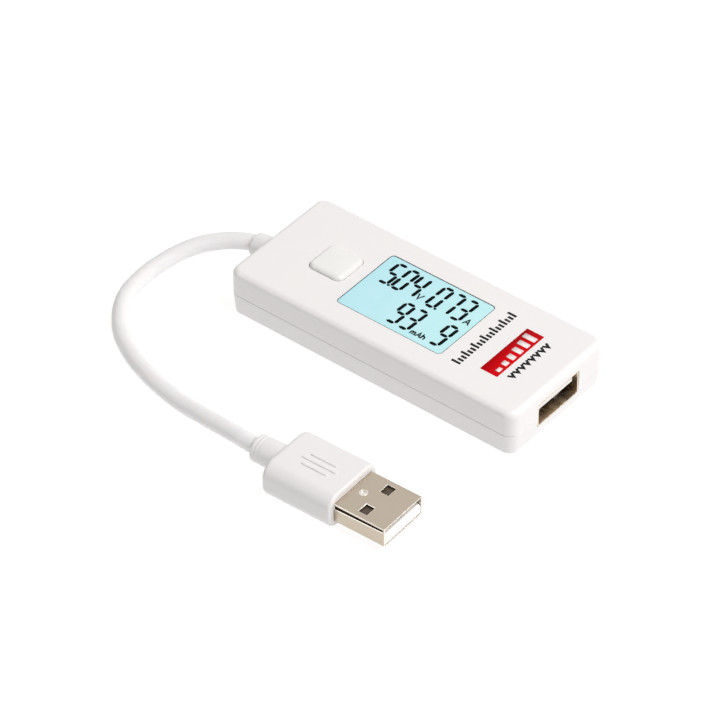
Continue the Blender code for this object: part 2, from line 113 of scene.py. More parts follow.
# Display: the glass fills its window but for a hairline. WINDOW_DROP widens it towards -Y, as in
# the photo.
GLASS_LOW, GLASS_HIGH = box_mm("lcd_front_glass")
GLASS_GAP_CAD = 0.3
WINDOW_DROP = 0.22
WINDOW_CENTRE = (GLASS_LOW + GLASS_HIGH) / 2 - Vector((0.0, WINDOW_DROP / 2, 0.0))
WINDOW_LENGTH = GLASS_HIGH.x - GLASS_LOW.x + 2 * GLASS_GAP_CAD
WINDOW_WIDTH = GLASS_HIGH.y - GLASS_LOW.y + 2 * GLASS_GAP_CAD + WINDOW_DROP
WINDOW_RADIUS = 0.9
WINDOW_HAIRLINE = 0.11
GLASS_TOP = HOUSING_TOP - 0.12
GASKET_TOP = HOUSING_TOP - 0.05
GASKET_LAP = 0.01
INK_THICKNESS = 0.02
LCD_INK = (GLASS_TOP, GLASS_TOP + INK_THICKNESS)
PRINT_INK = (HOUSING_TOP, HOUSING_TOP + INK_THICKNESS)
LCD_LEFT = (0.345, 0.632, 0.70)
LCD_RIGHT = (0.395, 0.695, 0.715)
LCD_HAZE = (0.50, 0.715, 0.79)
LCD_SPECKLE = (0.62, 0.86, 0.85)
LCD_GLOW = 0.12

# Display digits, each drawn about the middles of its strokes
DIGIT_WIDTH = 2.1
DIGIT_HEIGHT = 6.5
DIGIT_PITCH = 3.1
LEVEL_STROKE = 0.76
UPRIGHT_STROKE = 0.6
DIGIT_SLANT = 0.04
SEGMENT_GAP = 0.13
POINT_OFFSET = 0.46
POINT_SIZE = 0.58
POINT_RADIUS = 0.15
READOUTS = (
    ("504", (-10.3, 1.25), True),
    ("073", (1.4, 1.25), True),
    ("93", (-1.65, -7.23), False),
    ("9", (9.07, -7.23), False),
)
SEGMENTS = {"0": "abcdef", "3": "abgcd", "4": "fgbc", "5": "afgcd", "7": "abc", "9": "abfgcd"}
UNIT_STROKE = 0.32
UNIT_LETTERS = (
    ("V", (-1.31, 1.5), (1.25, 1.6)),
    ("A", (10.75, 1.25), (1.25, 1.6)),
    ("m", (4.5, -7.6), (1.0, 1.45)),
    ("A", (5.85, -7.6), (0.95, 1.4)),
    ("h", (7.1, -7.6), (0.65, 1.5)),
)
LETTER_STROKES = {
    "V": (((0, 1), (0.5, 0), (1, 1)),),
    "A": (((0, 0), (0.5, 1), (1, 0)), ((0.27, 0.36), (0.73, 0.36))),
    "m": (
        ((0, 0), (0, 0.66)),
        ((0.08, 0.5), (0.25, 0.64), (0.44, 0.56), (0.5, 0.4), (0.5, 0)),
        ((0.58, 0.5), (0.75, 0.64), (0.94, 0.56), (1, 0.4), (1, 0)),
    ),
    "h": (((0, 0), (0, 1)), ((0.1, 0.45), (0.45, 0.64), (0.88, 0.54), (1, 0.36), (1, 0))),
}

# Printed marks on the cover: generic shapes that stand where the real one has print
BADGE_CENTRE = (23.92, 0.2)
BADGE_SIZE = (4.2, 15.2)
BADGE_RADIUS = 0.12
LEVEL_BARS = 6
LEVEL_PITCH = 2.25
LEVEL_WIDTH = 1.3
LEVEL_HEIGHTS = (0.9, 3.0)
LEVEL_BASE = 25.45
SCALE_TICKS = 19
SCALE_START = -8.75
SCALE_PITCH = 1.0
SCALE_FOOT = 18.05
SCALE_TICK_WIDTH = 0.58
SCALE_TICK_RADIUS = 0.08
SCALE_HEIGHTS = (1.35, 2.15)
SCALE_MAJOR = 3
CHEVRON_COUNT = 8
CHEVRON_START = -5.3
CHEVRON_PITCH = 1.6
CHEVRON_BACK = 27.4
CHEVRON_SIZE = (1.15, 1.25)
CHEVRON_STROKE = 0.56

# Key, moved a little from its CAD place to where the photo shows it
KEY_LOW, KEY_HIGH = box_mm("button_cap")
KEY_SHIFT = Vector((0.12, -0.15, 0.0))
KEY_CENTRE = (KEY_LOW + KEY_HIGH) / 2 + KEY_SHIFT
KEY_SIZE = 8.6
KEY_RADIUS = 1.7
KEY_GAP = 0.08
KEY_TOP_RADIUS = 1.0
KEY_CROWN = 0.14
KEY_CROWN_STEPS = 9
KEY_FLANGE_TOP = 8.9
KEY_FLANGE_RADIUS = 1.0
KEY_HOLLOW = 6.9
KEY_HOLLOW_RADIUS = 0.6
KEY_HOLLOW_TOP = 9.3

# Socket
SOCKET_LOW, SOCKET_HIGH = box_mm("socket_shell")
SOCKET_CENTRE = (SOCKET_LOW + SOCKET_HIGH) / 2
SOCKET_SIZE = SOCKET_HIGH - SOCKET_LOW
SHEET_METAL = 0.3
SOCKET_MOUTH_GAP = 0.08
SOCKET_MOUTH_RADIUS = 0.55
SOCKET_RADII = (0.5, 0.25)
SOCKET_FRONT = HALF_LENGTH - 0.12
# Painted shade in the socket: between these places along X, from deep inside to the mouth, the
# nickel is darkened towards this colour
SOCKET_PAINTED_SHADE_SPAN = (32.0, 35.1)
SOCKET_PAINTED_SHADE_COLOUR = (0.11, 0.075, 0.045)
SPRING_PLACES = (-3.0, 3.0)
SPRING_WINDOW = (26.4, 33.2, 2.1)
SPRING_THICKNESS = 0.22
SPRING_SIDE_GAP = 0.25
# Along the window from its back, and up from the plate's middle; the last point is the tip's
SPRING_BENDS = ((-0.6, 0.0), (0.4, 0.0), (2.4, 0.25), (4.2, 0.55), (5.0, 0.62), (5.6, 0.5))
SPRING_TIP = (0.25, 0.1)
TONGUE_LOW, TONGUE_HIGH = box_mm("socket_tongue")
TONGUE_THICKNESS = 1.84
TONGUE_BASE_FRONT = 25.2
TONGUE_LEAD_IN = 0.35
CONTACT_WIDTH = 1.1
CONTACT_THICKNESS = 0.25
CONTACT_CLEARANCE = 0.02
CONTACT_BUMP_BACK = 2.2
CONTACT_BUMP = ((-1.6, 0.0), (-0.6, 0.28), (0.0, 0.36), (0.6, 0.28), (1.4, 0.0))

# Lead: the route follows the CAD tube's, keeps with the plug's shift at that end, and runs on into
# the gland and the collar
TRANSLUCENT_DEPTH = 2.4  # how deep light reaches under the lead's soft skin
CABLE_DIAMETER = 3.55
LEAD_HOLE_RADIUS = CABLE_DIAMETER / 2 + 0.03
CABLE_ROUTE = (
    (-39.6, 0.0, 4.9),
    (-41.55, -0.15, 4.9),
    (-43.9, -1.3, 4.85),
    (-47.2, -3.5, 4.5),
    (-50.1, -6.5, 4.0),
    (-52.3, -10.2, 3.3),
    (-53.6, -14.2, 2.6),
    (-54.3, -19.1, 2.0),
    (-53.0, -26.5, 1.8),
    (-48.2, -33.6, 1.8),
    (-41.6, -38.4, 1.8),
    (-33.1, -41.8, 1.8),
    (-24.0, -43.85, 1.95),
    (-15.3, -45.1, 2.95),
    (-8.0, -45.98, 3.8),
    (-5.0, -46.3, 3.97),
    (-2.64, -46.33, 4.0),
    (-1.2, -46.29, 4.0),
)
CABLE_STEPS = 8
CABLE_SIDES_SETTING = 6
GLAND_ROOT_RADIUS = 3.05
GLAND_END_RADIUS = 2.62
GLAND_LENGTH = 5.2
GLAND_END_EDGE = 0.45
GLAND_NECK_RADIUS = 2.5
GLAND_NECK_CLEARANCE = 0.1
GLAND_FLANGE_RADIUS = 3.0
GLAND_FLANGE = (-31.2, -33.0)
GLAND_SIDES = 48

# Plug: drawn along its own +X, from the overmould's front face. PLUG_SHIFT moves it a little from
# its CAD place to where the photo shows it.
PLUG_TURN = math.radians(1.5)
PLUG_SHIFT = Vector((0.0, 0.12, 0.0))
PLUG_SHELL_SIZE = (12.0, 4.5)
PLUG_SHELL_BACK = -6.0
PLUG_SHELL_TIP = 12.0
PLUG_SHELL_RADIUS = 0.4
PLUG_WINDOW_PLACE = (5.8, 3.4)
PLUG_WINDOW_SIZE = (1.95, 2.5)
PLUG_FOLD = (0.1, 11.6)
PLUG_FOLD_HEIGHTS = (0.88, 0.6)
PLUG_FOLD_TOP = PLUG_SHELL_SIZE[1] / 2 - SHEET_METAL - 0.04
PLUG_FOLD_EDGE_RADIUS = 0.12
PLUG_POCKET_GAP = 0.05
PLUG_CORE_TOP = 0.27
PLUG_CORE_SLOPE = 0.45
PLUG_CORE_EDGE = 0.15
PLUG_CONTACTS = ["plug_contact_%d" % number for number in range(1, 5)]
# Plates of painted shade under the plug's windows
WINDOW_SHADE_DROP = 0.25
WINDOW_SHADE_THICKNESS = 0.25
WINDOW_SHADE_LAP = 0.45
DIMPLE_PLACE = (2.5, 0.0)
DIMPLE_RADIUS = 1.15
DIMPLE_DEPTH = 0.285
MOULD_SIZE = (15.2, 7.8)
MOULD_LENGTH = 16.55
MOULD_RADIUS = 2.9
MOULD_SHOULDER = 1.1
MOULD_SHOULDER_STEPS = 12
MOULD_BACK_INSET = 0.55
MOULD_FRONT_EDGE = 0.6
COLLAR_LENGTH = 6.6
COLLAR_RADII = (2.85, 3.0)
COLLAR_EDGE = 0.4
COLLAR_ROOT = (0.45, 0.06)
COLLAR_GROOVES = (1.0, 1.8)
COLLAR_GROOVE_WIDTH = 0.44
COLLAR_GROOVE_DEPTH = 0.07
COLLAR_GROOVE_STEPS = 6
RIB_LENGTHS = (6.2, 8.4, 6.2)
RIB_CENTRE = (-7.9, -0.3)
RIB_PITCH = 1.55
RIB_WIDTH = 0.7
RIB_RISE = 0.24
RIB_ROOT = 0.15
RIB_SLOPE = 0.15


def plug_matrix():
    """Where the plug's own frame stands, found from the middle of the shell's box."""
    low, high = box_mm("plug_shell")
    middle = (PLUG_SHELL_BACK + PLUG_SHELL_TIP) / 2
    turn = Matrix.Rotation(PLUG_TURN, 4, "Z")
    place = (low + high) / 2 + PLUG_SHIFT - turn @ Vector((middle, 0.0, 0.0))
    return Matrix.Translation(place) @ turn


PLUG_FRAME = plug_matrix()


# Materials


def new_material(name):
    material = bpy.data.materials.new(name)
    material.use_nodes = True
    tree = material.node_tree
    return material, tree, tree.nodes["Principled BSDF"]


def set_inputs(node, values):
    for name, value in values.items():
        node.inputs[name].default_value = value


def noise_node(tree, scale, detail=3.0, stretch=(1.0, 1.0, 1.0)):
    """Noise in the object's own space, its scale in bumps for each metre."""
    place = tree.nodes.new("ShaderNodeTexCoord")
    mapping = tree.nodes.new("ShaderNodeMapping")
    set_inputs(mapping, {"Scale": stretch})
    noise = tree.nodes.new("ShaderNodeTexNoise")
    set_inputs(noise, {"Scale": scale, "Detail": detail})
    tree.links.new(place.outputs["Object"], mapping.inputs["Vector"])
    tree.links.new(mapping.outputs["Vector"], noise.inputs["Vector"])
    return noise


def mix_colours(tree, factor, first, second):
    mix = tree.nodes.new("ShaderNodeMix")
    mix.data_type = "RGBA"
    tree.links.new(factor, mix.inputs["Factor"])
    for socket_name, colour in (("A", first), ("B", second)):
        socket = next(i for i in mix.inputs if i.name == socket_name and i.type == "RGBA")
        if isinstance(colour, bpy.types.NodeSocket):
            tree.links.new(colour, socket)
        else:
            socket.default_value = (*colour, 1.0)
    return next(o for o in mix.outputs if o.type == "RGBA")


def remap(tree, value, low, high, from_low=0.3, from_high=0.7):
    node = tree.nodes.new("ShaderNodeMapRange")
    set_inputs(node, {"From Min": from_low, "From Max": from_high, "To Min": low, "To Max": high})
    tree.links.new(value, node.inputs["Value"])
    return node.outputs["Result"]


def rise_along_x(tree, start, end):
    """A value that rises from 0 to 1 between two places along X."""
    place = tree.nodes.new("ShaderNodeTexCoord")
    split = tree.nodes.new("ShaderNodeSeparateXYZ")
    tree.links.new(place.outputs["Object"], split.inputs["Vector"])
    return remap(tree, split.outputs["X"], 0.0, 1.0, start * MM, end * MM)


def add_bump(tree, shader, height, strength, distance_mm):
    bump = tree.nodes.new("ShaderNodeBump")
    set_inputs(bump, {"Strength": strength, "Distance": distance_mm * MM})
    tree.links.new(height, bump.inputs["Height"])
    tree.links.new(bump.outputs["Normal"], shader.inputs["Normal"])


def surface(
    name,
    colour,
    shade,
    roughness,
    metallic=0.0,
    grain=3000.0,
    bump=0.15,
    patch=160.0,
    stretch=(1.0, 1.0, 1.0),
    coat=0.0,
    specular=0.5,
    translucence=0.0,
):
    """A moulded or rolled surface: two close colours in patches, and fine grain in its gloss."""
    material, tree, shader = new_material(name)
    settings = {
        "Metallic": metallic,
        "IOR": 1.5,
        "Specular IOR Level": specular,
        "Subsurface Weight": translucence,
        "Subsurface Radius": (1.0, 0.95, 0.9),
        "Subsurface Scale": TRANSLUCENT_DEPTH * MM,
        "Coat Weight": coat,
        "Coat Roughness": 0.08,
    }
    set_inputs(shader, settings)
    patches = noise_node(tree, patch, 2.0)
    mixed = mix_colours(tree, patches.outputs["Fac"], colour, shade)
    tree.links.new(mixed, shader.inputs["Base Color"])
    fine = noise_node(tree, grain, 4.0, stretch)
    tree.links.new(remap(tree, fine.outputs["Fac"], *roughness), shader.inputs["Roughness"])
    add_bump(tree, shader, fine.outputs["Fac"], bump, distance_mm=0.01)
    return material


def display_material():
    """Lit liquid-crystal panel: pale cyan, brighter to the right, with a fine speckle."""
    material, tree, shader = new_material("lcd_cyan")
    across = rise_along_x(tree, GLASS_LOW.x, GLASS_HIGH.x)
    base = mix_colours(tree, across, LCD_LEFT, LCD_RIGHT)
    cloud = noise_node(tree, 210.0, 2.0)
    hazy = mix_colours(tree, remap(tree, cloud.outputs["Fac"], 0.0, 0.35), base, LCD_HAZE)
    speckle = noise_node(tree, 5200.0, 2.0)
    speckles = remap(tree, speckle.outputs["Fac"], 0.0, 0.16)
    speckled = mix_colours(tree, speckles, hazy, LCD_SPECKLE)
    tree.links.new(speckled, shader.inputs["Base Color"])
    tree.links.new(speckled, shader.inputs["Emission Color"])
    set_inputs(shader, {"Emission Strength": LCD_GLOW, "Roughness": 0.45})
    set_inputs(shader, {"Coat Weight": 0.6, "Coat Roughness": 0.05})
    add_bump(tree, shader, speckle.outputs["Fac"], 0.05, 0.004)
    return material


def socket_material():
    """Nickel with painted shade: its colour darkens from the socket's mouth further in, where
    shade falls.
    """
    material = surface(
        "socket_nickel",
        (1.0, 0.86, 0.66),
        (0.50, 0.38, 0.25),
        (0.22, 0.38),
        metallic=1.0,
        grain=1100.0,
        patch=520.0,
    )
    tree = material.node_tree
    base_colour = tree.nodes["Principled BSDF"].inputs["Base Color"]
    bare = base_colour.links[0].from_socket
    mouthward = rise_along_x(tree, *SOCKET_PAINTED_SHADE_SPAN)
    shaded = mix_colours(tree, mouthward, SOCKET_PAINTED_SHADE_COLOUR, bare)
    tree.links.new(shaded, base_colour)
    return material


def board_material():
    """Green solder mask over copper tracks, with the weave of the glass cloth under it."""
    material, tree, shader = new_material("board_green")
    place = tree.nodes.new("ShaderNodeTexCoord")
    tracks = tree.nodes.new("ShaderNodeTexBrick")
    set_inputs(tracks, {"Scale": 220.0, "Mortar Size": 0.04, "Mortar": (0.05, 0.36, 0.12, 1.0)})
    set_inputs(tracks, {"Color1": (0.010, 0.17, 0.06, 1.0), "Color2": (0.014, 0.22, 0.08, 1.0)})
    tree.links.new(place.outputs["Object"], tracks.inputs["Vector"])
    tree.links.new(tracks.outputs["Color"], shader.inputs["Base Color"])
    weave = noise_node(tree, 2600.0, 2.0)
    tree.links.new(remap(tree, weave.outputs["Fac"], 0.3, 0.5), shader.inputs["Roughness"])
    add_bump(tree, shader, weave.outputs["Fac"], 0.2, 0.02)
    return material


SATIN = (0.30, 0.46)
MATT_PLASTIC = (0.36, 0.50)
WIRE_SKIN = (0.35, 0.5)
ROLLED = (0.25, 2.4, 2.4)
# Each finish: its two colours, the range of its roughness, and its other settings
FINISHES = {
    "white_shell": ((0.80, 0.785, 0.78), (0.785, 0.77, 0.77), SATIN, {"bump": 0.12}),
    "white_key": ((0.81, 0.80, 0.785), (0.79, 0.785, 0.77), (0.28, 0.40), {"bump": 0.08}),
    "soft_white": (
        (0.78, 0.765, 0.765), (0.755, 0.745, 0.745), (0.40, 0.56),
        {"grain": 2200.0, "bump": 0.18},
    ),
    "lead_white": (
        (0.755, 0.75, 0.755), (0.735, 0.73, 0.735), (0.46, 0.58),
        {"grain": 1800.0, "bump": 0.14, "specular": 0.2, "translucence": 1.0},
    ),
    "lcd_black": (
        (0.0015, 0.003, 0.004), (0.003, 0.005, 0.006), (0.5, 0.6),
        {"bump": 0.05, "specular": 0.04},
    ),
    "print_black": ((0.006, 0.006, 0.007), (0.012, 0.011, 0.011), (0.5, 0.65), {"specular": 0.2}),
    "print_red": (
        (0.60, 0.002, 0.006), (0.54, 0.002, 0.005), (0.5, 0.62),
        {"patch": 420.0, "specular": 0.03},
    ),
    "print_white": ((0.86, 0.80, 0.79), (0.80, 0.72, 0.71), (0.45, 0.58)),
    "rolled_nickel": (
        (0.60, 0.515, 0.42), (0.54, 0.475, 0.385), (0.28, 0.31),
        {"metallic": 1.0, "grain": 900.0, "stretch": ROLLED, "bump": 0.004, "patch": 120.0},
    ),
    # Painted highlight: a much brighter metal for cut edges, bevels and the dimple, partly the
    # brighter finish of worked metal
    "burnished_highlight_edge": ((0.97, 0.93, 0.87), (0.93, 0.88, 0.80), (0.22, 0.32), {"metallic": 1.0}),
    "gilt_contact": (
        (0.92, 0.68, 0.30), (0.84, 0.58, 0.22), (0.16, 0.30),
        {"metallic": 1.0, "grain": 1500.0},
    ),
    # Painted shade: a dark sheet set under the plug's windows, where the inside is in shade
    "window_painted_shade": ((0.10, 0.066, 0.045), (0.035, 0.022, 0.015), (0.35, 0.60), {"patch": 1400.0}),
    # Painted shadow: a dark strip behind the plug's slit, where the slit is in shadow
    "slit_painted_shadow": ((0.040, 0.022, 0.013), (0.020, 0.011, 0.007), (0.6, 0.8), {"specular": 0.1}),
    "gasket_grey": ((0.05, 0.055, 0.06), (0.035, 0.04, 0.045), (0.55, 0.7), {"grain": 2400.0}),
    "insulator_white": ((0.84, 0.82, 0.79), (0.80, 0.785, 0.76), MATT_PLASTIC, {"grain": 1600.0}),
    "plug_core_white": ((0.96, 0.945, 0.93), (0.93, 0.915, 0.90), MATT_PLASTIC, {"grain": 1600.0}),
    "rear_glass": (
        (0.30, 0.42, 0.44), (0.26, 0.38, 0.40), (0.04, 0.10),
        {"bump": 0.02, "coat": 1.0},
    ),
    "light_guide": ((0.72, 0.90, 0.92), (0.66, 0.86, 0.90), (0.30, 0.45), {"grain": 1400.0}),
    "zebra_strip": ((0.05, 0.05, 0.055), (0.16, 0.13, 0.13), (0.6, 0.8), {"patch": 2400.0}),
    "chip_black": ((0.014, 0.014, 0.015), (0.022, 0.022, 0.024), (0.42, 0.62)),
    "crystal_can": ((0.70, 0.69, 0.67), (0.62, 0.61, 0.60), (0.18, 0.30), {"metallic": 1.0}),
    "capacitor_tan": ((0.38, 0.26, 0.15), (0.32, 0.21, 0.12), (0.40, 0.55)),
    "wire_red": ((0.52, 0.015, 0.018), (0.46, 0.012, 0.014), WIRE_SKIN),
    "wire_white": ((0.78, 0.77, 0.75), (0.72, 0.71, 0.70), WIRE_SKIN),
    "wire_green": ((0.02, 0.28, 0.06), (0.016, 0.24, 0.05), WIRE_SKIN),
    "wire_black": ((0.015, 0.015, 0.016), (0.022, 0.022, 0.022), WIRE_SKIN),
}


def make_materials():
    materials = {name: surface(name, *row[:3], **dict(*row[3:])) for name, row in FINISHES.items()}
    materials["lcd_cyan"] = display_material()
    materials["socket_nickel"] = socket_material()
    materials["board_green"] = board_material()
    return materials


MATERIALS = make_materials()


# Shape tools


def rounded_outline(length, width, radii, steps=CORNER_STEPS):
    """Points of a rectangle centred on zero. radii: one for all, or +X+Y, -X+Y, -X-Y, +X-Y."""
    if not hasattr(radii, "__len__"):
        radii = (radii,) * 4
    corners = ((1, 1), (-1, 1), (-1, -1), (1, -1))
    points = []
    for quarter, ((side_x, side_y), radius) in enumerate(zip(corners, radii)):
        for step in range(steps + 1):
            angle = math.pi / 2 * (quarter + step / steps)
            across = side_x * (length / 2 - radius) + radius * math.cos(angle)
            along = side_y * (width / 2 - radius) + radius * math.sin(angle)
            points.append((across, along))
    return points


def circle(radius, sides):
    turns = [2 * math.pi * side / sides for side in range(sides)]
    return [(radius * math.cos(turn), radius * math.sin(turn)) for turn in turns]


def level_ring(outline, height, centre=(0.0, 0.0)):
    return [Vector((x + centre[0], y + centre[1], height)) for x, y in outline]


def upright_ring(outline, station, height=0.0):
    return [Vector((station, y, z + height)) for y, z in outline]


def loft(rings, solid=None, hollow=False):
    """Join rings of equal point count into a solid whose ends are flat, or meet if hollow."""
    solid = solid or bmesh.new()
    loops = [[solid.verts.new(point) for point in ring] for ring in rings]
    count = len(loops[0])
    followers = loops[1:] + loops[:1] if hollow else loops[1:]
    for first, second in zip(loops, followers):
        for index in range(count):
            following = (index + 1) % count
            solid.faces.new((first[index], first[following], second[following], second[index]))
    if not hollow:
        solid.faces.new(loops[0])
        solid.faces.new(loops[-1])
    return solid


def prism(outline, low, high, centre=(0.0, 0.0), solid=None):
    return loft([level_ring(outline, low, centre), level_ring(outline, high, centre)], solid)


def block(low, high, solid=None):
    outline = ((low[0], low[1]), (high[0], low[1]), (high[0], high[1]), (low[0], high[1]))
    return prism(outline, low[2], high[2], solid=solid)


def bar(outline, start, end, height=0.0):
    return loft([upright_ring(outline, start, height), upright_ring(outline, end, height)])


def side_prism(side_view, low, high):
    """A solid of even section: side_view holds (x, z) points, low and high are places along Y."""
    return loft([[Vector((x, side, z)) for x, z in side_view] for side in (low, high)])


def quarter_round(radius, steps=FILLET_STEPS):
    """(inset, rise) pairs of a quarter round, from its level end to its upright end."""
    turns = [math.pi / 2 * step / steps for step in range(steps + 1)]
    return [(radius * (1 - math.sin(turn)), radius * (1 - math.cos(turn))) for turn in turns]


def strip(solid, path, side, width, thickness):
    """A bent metal strip: path holds (x, z) points of its middle, side is its middle along Y."""
    rings = []
    for index, (x, z) in enumerate(path):
        before = Vector(path[max(index - 1, 0)])
        after = Vector(path[min(index + 1, len(path) - 1)])
        along = (after - before).normalized()
        lift = Vector((-along.y, along.x)) * thickness / 2
        low, high = side - width / 2, side + width / 2
        under = [Vector((x - lift.x, y, z - lift.y)) for y in (low, high)]
        over = [Vector((x + lift.x, y, z + lift.y)) for y in (high, low)]
        rings.append(under + over)
    return loft(rings, solid)


def ribbon(solid, points, width, low, high):
    """A flat stroke of even width along a bent line, its joints mitred."""
    line = [Vector(point) for point in points]
    left, right = [], []
    for index, point in enumerate(line):
        ahead = line[min(index + 1, len(line) - 1)] - point
        behind = point - line[max(index - 1, 0)]
        normals = [Vector((-d.y, d.x)).normalized() for d in (behind, ahead) if d.length > 0]
        middle = sum(normals, Vector((0.0, 0.0))).normalized()
        reach = width / 2 / max(middle.dot(normals[0]), 0.45)
        left.append(point + middle * reach)
        right.append(point - middle * reach)
    outline = [(p.x, p.y) for p in left + right[::-1]]
    return prism(outline, low, high, solid=solid)


def smooth_route(points, steps):
    """Points on a smooth curve through the route's own points."""
    route = [Vector(point) for point in points]
    route = [2 * route[0] - route[1]] + route + [2 * route[-1] - route[-2]]
    fine = []
    for before, start, end, after in zip(route, route[1:], route[2:], route[3:]):
        for step in range(steps):
            t = step / steps
            linear = (end - before) * t
            square = (2 * before - 5 * start + 4 * end - after) * t**2
            cube = (3 * start - before - 3 * end + after) * t**3
            fine.append(0.5 * (2 * start + linear + square + cube))
    fine.append(route[-2])
    return fine


def add_object(name, data):
    thing = bpy.data.objects.new(name, data)
    bpy.context.scene.collection.objects.link(thing)
    return thing


def make_piece(name, solid, material, place=None):
    """Turn a bmesh drawn in millimetres into an object in metres."""
    bmesh.ops.recalc_face_normals(solid, faces=solid.faces)
    scale = Matrix.Scale(MM, 4)
    bmesh.ops.transform(solid, matrix=scale @ (place or Matrix.Identity(4)), verts=solid.verts)
    mesh = bpy.data.meshes.new(name)
    solid.to_mesh(mesh)
    solid.free()
    mesh.shade_smooth()
    mesh.materials.append(material)
    return add_object(name, mesh)


def apply_modifiers(piece):
    graph = bpy.context.evaluated_depsgraph_get()
    mesh = bpy.data.meshes.new_from_object(
        piece.evaluated_get(graph), preserve_all_data_layers=True, depsgraph=graph
    )
    mesh.name = piece.name
    old = piece.data
    piece.modifiers.clear()
    piece.data = mesh
    bpy.data.meshes.remove(old)


def combine(piece, solid, place=None, operation="DIFFERENCE"):
    """Cut a solid out of a piece, or join it on, and keep only the result."""
    tool = make_piece(piece.name + "_tool", solid, piece.data.materials[0], place)
    modifier = piece.modifiers.new("tool", "BOOLEAN")
    modifier.operation = operation
    modifier.solver = "EXACT"
    modifier.object = tool
    apply_modifiers(piece)
    mesh = tool.data
    bpy.data.objects.remove(tool)
    bpy.data.meshes.remove(mesh)


def soften(piece, width, segments=3, edge_material=None):
    """Round the sharp edges, then let the large faces set the shading."""
    bevel = piece.modifiers.new("edges", "BEVEL")
    bevel.width = width * MM
    bevel.segments = segments
    bevel.limit_method = "ANGLE"
    bevel.angle_limit = EDGE_ANGLE
    bevel.use_clamp_overlap = False
    if edge_material:
        piece.data.materials.append(edge_material)
        bevel.material = len(piece.data.materials) - 1
    even_shading(piece)


def even_shading(piece):
    normals = piece.modifiers.new("normals", "WEIGHTED_NORMAL")
    normals.keep_sharp = True
    apply_modifiers(piece)


def place_on(piece, replaced=(), body="housing"):
    """Let a piece ride on its body, and hide the CAD nodes that it stands for."""
    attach(piece, body)
    if replaced:
        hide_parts(*replaced)
    return piece


def soft_piece(name, solid, material, edge, replaced=(), place=None, segments=2):
    piece = make_piece(name, solid, MATERIALS[material], place)
    soften(piece, edge, segments)
    return place_on(piece, replaced)


def mark(name, solid, ink):
    place_on(make_piece(name, solid, MATERIALS[ink]))


# Housing


def housing_ring(inset, height):
    radius = max(CORNER_RADIUS - inset, 0.3)
    outline = rounded_outline(HOUSING_LENGTH - 2 * inset, HOUSING_WIDTH - 2 * inset, radius)
    return level_ring(outline, height)


def cut_ends(cover):
    """Open a cover's two ends, for the socket's mouth and the lead's gland."""
    mouth_size = (SOCKET_SIZE.y + 2 * SOCKET_MOUTH_GAP, SOCKET_SIZE.z + 2 * SOCKET_MOUTH_GAP)
    mouth = rounded_outline(*mouth_size, SOCKET_MOUTH_RADIUS, 5)
    start, end = HALF_LENGTH - END_CUT_DEPTH, HALF_LENGTH + CUT_REACH
    combine(cover, bar(mouth, start, end, SOCKET_CENTRE.z))
    hole = circle(GLAND_NECK_RADIUS + GLAND_NECK_CLEARANCE, GLAND_SIDES)
    start, end = -HALF_LENGTH - CUT_REACH, -HALF_LENGTH + END_CUT_DEPTH
    combine(cover, bar(hole, start, end, SEAM_HEIGHT))


def make_upper_shell():
    rings = [housing_ring(inset, HOUSING_TOP - rise) for inset, rise in quarter_round(TOP_FILLET)]
    rebate = LIP_OUTSET - LIP_CLEARANCE
    rebate_top = LIP_TOP + LIP_CLEARANCE
    seam = SEAM_HEIGHT + SEAM_GAP / 2
    inside = ((rebate, rebate_top), (UPPER_WALL, rebate_top), (UPPER_WALL, CEILING_HEIGHT))
    rings += [housing_ring(*place) for place in ((0.0, seam), (rebate, seam), *inside)]
    shell = make_piece("upper_shell", loft(rings), MATERIALS["white_shell"])
    window = rounded_outline(WINDOW_LENGTH, WINDOW_WIDTH, WINDOW_RADIUS)
    above = HOUSING_TOP + CUT_REACH
    below = CEILING_HEIGHT - CUT_REACH
    combine(shell, prism(window, below, above, WINDOW_CENTRE))
    well_size = KEY_SIZE + 2 * KEY_GAP
    well = rounded_outline(well_size, well_size, KEY_RADIUS + KEY_GAP)
    combine(shell, prism(well, below, above, KEY_CENTRE))
    cut_ends(shell)
    soften(shell, EDGE_ROUND)
    place_on(shell, ["upper_cover"])


def make_lower_shell():
    edge = quarter_round(BOTTOM_FILLET, 6)
    rings = [housing_ring(LOWER_DRAFT + inset, rise) for inset, rise in edge]
    seam = SEAM_HEIGHT - SEAM_GAP / 2
    lip = ((LIP_OUTSET, LIP_TOP), (LIP_INSET, LIP_TOP), (LIP_INSET, FLOOR_THICKNESS))
    rings += [housing_ring(*place) for place in ((0.0, seam), (LIP_OUTSET, seam), *lip)]
    shell = make_piece("lower_shell", loft(rings), MATERIALS["white_shell"])
    post_top = BOARD_BOTTOM - POST_CLEARANCE
    for place in POST_PLACES:
        post = prism(circle(POST_RADIUS, 24), FLOOR_THICKNESS / 2, post_top, place)
        combine(shell, post, operation="UNION")
    cut_ends(shell)
    soften(shell, EDGE_ROUND)
    place_on(shell, ["lower_cover"])


# Display


def window_outline(inset):
    size = (WINDOW_LENGTH - 2 * inset, WINDOW_WIDTH - 2 * inset)
    return rounded_outline(*size, WINDOW_RADIUS - inset)


def make_gasket():
    """The dark seal that shows as a fine line between the glass and its window."""
    outer = window_outline(GASKET_LAP)
    inner = window_outline(WINDOW_HAIRLINE - GASKET_LAP)
    low, high = GLASS_LOW.z, GASKET_TOP
    places = ((outer, low), (outer, high), (inner, high), (inner, low))
    rings = [level_ring(outline, height, WINDOW_CENTRE) for outline, height in places]
    gasket = make_piece("display_gasket", loft(rings, hollow=True), MATERIALS["gasket_grey"])
    gasket.data.set_sharp_from_angle(angle=EDGE_ANGLE)
    place_on(gasket)


def make_display_window():
    solid = prism(window_outline(WINDOW_HAIRLINE), GLASS_LOW.z, GLASS_TOP, WINDOW_CENTRE)
    name, replaced = "display_window", ["lcd_front_glass"]
    soft_piece(name, solid, "lcd_cyan", 0.06, replaced, segments=3)


